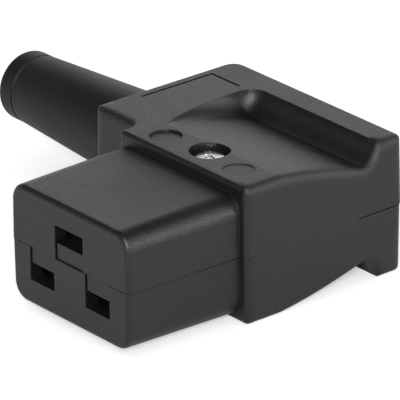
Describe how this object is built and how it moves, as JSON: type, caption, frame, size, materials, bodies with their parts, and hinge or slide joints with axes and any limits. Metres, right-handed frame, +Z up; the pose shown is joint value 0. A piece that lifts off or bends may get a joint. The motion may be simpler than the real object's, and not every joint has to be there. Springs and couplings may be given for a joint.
{
  "type": "angled rewireable c19 power connector",
  "caption": "Angled female power connector with a two-part moulded housing, side cord sleeve, finger scoops and screw-terminal socket contacts.",
  "frame": {"origin": "centre of the mating nose in its face plane, on the plane where the halves part", "axes": "+X across the nose away from the cord, which leaves towards -X; +Y from the mating face into the housing; +Z up, to the side with the earth slot and the housing screw"},
  "size_m": [0.0749, 0.0515, 0.0219],
  "materials": {
    "housing_plastic": "fine-textured black moulded plastic",
    "sleeve_rubber": "smooth black rubber",
    "screw_steel": "bright zinc plated",
    "spring_steel": "plain spring steel",
    "contact_brass": "folded brass strip",
    "clamp_plastic": "black moulded plastic"
  },
  "bodies": {
    "root": {"upper_shell": "housing_plastic", "lower_shell": "housing_plastic", "bend_relief_sleeve": "sleeve_rubber", "housing_screw": "screw_steel", "cord_clamp_bar": "clamp_plastic", "front_clamp_screw": "screw_steel", "rear_clamp_screw": "screw_steel", "left_contact": "contact_brass", "left_spring": "spring_steel", "left_wire_plate": "screw_steel", "left_terminal_screw": "screw_steel", "right_contact": "contact_brass", "right_spring": "spring_steel", "right_wire_plate": "screw_steel", "right_terminal_screw": "screw_steel", "earth_contact": "contact_brass", "earth_spring": "spring_steel", "earth_wire_plate": "screw_steel", "earth_terminal_screw": "screw_steel"}
  },
  "joints": []
}
